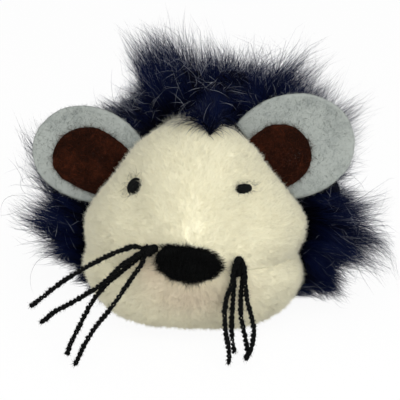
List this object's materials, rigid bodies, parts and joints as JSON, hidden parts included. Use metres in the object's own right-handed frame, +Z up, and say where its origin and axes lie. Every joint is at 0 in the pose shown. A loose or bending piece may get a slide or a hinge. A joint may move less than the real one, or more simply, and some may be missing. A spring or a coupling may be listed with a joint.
{
  "type": "stuffed cat toy",
  "caption": "Fat stuffed catnip mouse with a plush face, a long-haired fur back, folding felt ears and yarn whiskers, for a cat to carry and kick.",
  "frame": {"origin": "on the flat of the belly, below the middle of the widest girth", "axes": "+Z up, -Y the way the nose points, +X to the right of a viewer who faces the nose"},
  "size_m": [0.118, 0.1233, 0.089],
  "materials": {
    "cream_plush": "short brushed pile",
    "navy_fur": "long straight pile with paler tips",
    "fibre_filling": "loose polyester fibre",
    "dried_herb": "dry crushed leaf",
    "muslin": "plain weave",
    "black_thread": "satin stitch",
    "black_yarn": "twisted wool yarn",
    "grey_felt": "flecked wool felt",
    "brown_felt": "wool felt"
  },
  "bodies": {
    "toy": {"face_panel": "cream_plush", "chin_belly_panel": "cream_plush", "fur_panel_left": "navy_fur", "fur_panel_right": "navy_fur", "filling_front": "fibre_filling", "filling_rear": "fibre_filling", "catnip_herb": "dried_herb", "sachet_front": "muslin", "sachet_back": "muslin", "eye_left": "black_thread", "eye_right": "black_thread", "nose": "black_yarn"},
    "ear_left": {"ear_left_felt": "grey_felt", "ear_left_lining": "brown_felt"},
    "ear_right": {"ear_right_felt": "grey_felt", "ear_right_lining": "brown_felt"},
    "whiskers_left": {"whisker_knot_left": "black_yarn", "whisker_left_1": "black_yarn", "whisker_left_2": "black_yarn", "whisker_left_3": "black_yarn", "whisker_left_4": "black_yarn"},
    "whiskers_right": {"whisker_knot_right": "black_yarn", "whisker_right_1": "black_yarn", "whisker_right_2": "black_yarn", "whisker_right_3": "black_yarn", "whisker_right_4": "black_yarn"}
  },
  "joints": [
    {"name": "ear_left_fold", "type": "hinge", "parent": "toy", "child": "ear_left", "pos_m": [-0.02783, 0.00229, 0.05198], "axis": [0.6179, 0.1082, 0.7788], "range_deg": [-20, 35], "stiffness_Nm_per_rad": 0.01},
    {"name": "ear_right_fold", "type": "hinge", "parent": "toy", "child": "ear_right", "pos_m": [0.02561, 0.00267, 0.05475], "axis": [0.6214, -0.1078, -0.776], "range_deg": [-20, 35], "stiffness_Nm_per_rad": 0.01},
    {"name": "whiskers_left_swing", "type": "hinge", "parent": "toy", "child": "whiskers_left", "pos_m": [-0.01281, -0.0379, 0.03956], "axis": [0.45, 0.893, 0], "range_deg": [-5, 40], "stiffness_Nm_per_rad": 0.001},
    {"name": "whiskers_right_swing", "type": "hinge", "parent": "toy", "child": "whiskers_right", "pos_m": [0.01676, -0.03636, 0.03703], "axis": [0.12, -0.9928, 0], "range_deg": [-8, 45]}
  ]
}
